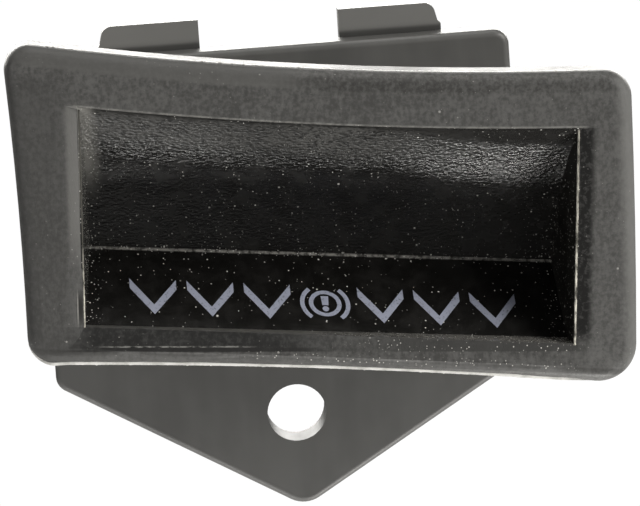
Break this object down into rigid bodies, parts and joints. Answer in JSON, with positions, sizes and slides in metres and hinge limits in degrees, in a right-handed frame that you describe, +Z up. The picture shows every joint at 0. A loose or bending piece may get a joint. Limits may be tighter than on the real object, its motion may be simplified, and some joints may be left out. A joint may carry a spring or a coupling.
{
  "type": "parking brake release handle",
  "caption": "Pull handle with a waisted, sloping bezel and a deep finger recess, sliding in a five-sided mounting bracket with hook tabs, a screw hole and a cable seat.",
  "frame": {"origin": "on the axis of the screw hole, at the front face of the bracket plate", "axes": "+Z up, +X to the viewer's right, +Y into the dashboard; the handle faces and pulls towards -Y"},
  "size_m": [0.0777, 0.0681, 0.0693],
  "materials": {
    "handle_plastic": "black, satin rim and glossy recess",
    "bracket_plastic": "dark grey, fine matte"
  },
  "bodies": {
    "bracket": {"mounting_bracket": "bracket_plastic"},
    "handle": {"pull_handle": "handle_plastic"}
  },
  "joints": [
    {"name": "handle_pull", "type": "slide", "parent": "bracket", "child": "handle", "axis": [0, -1, 0], "range_m": [0, 0.02]}
  ]
}
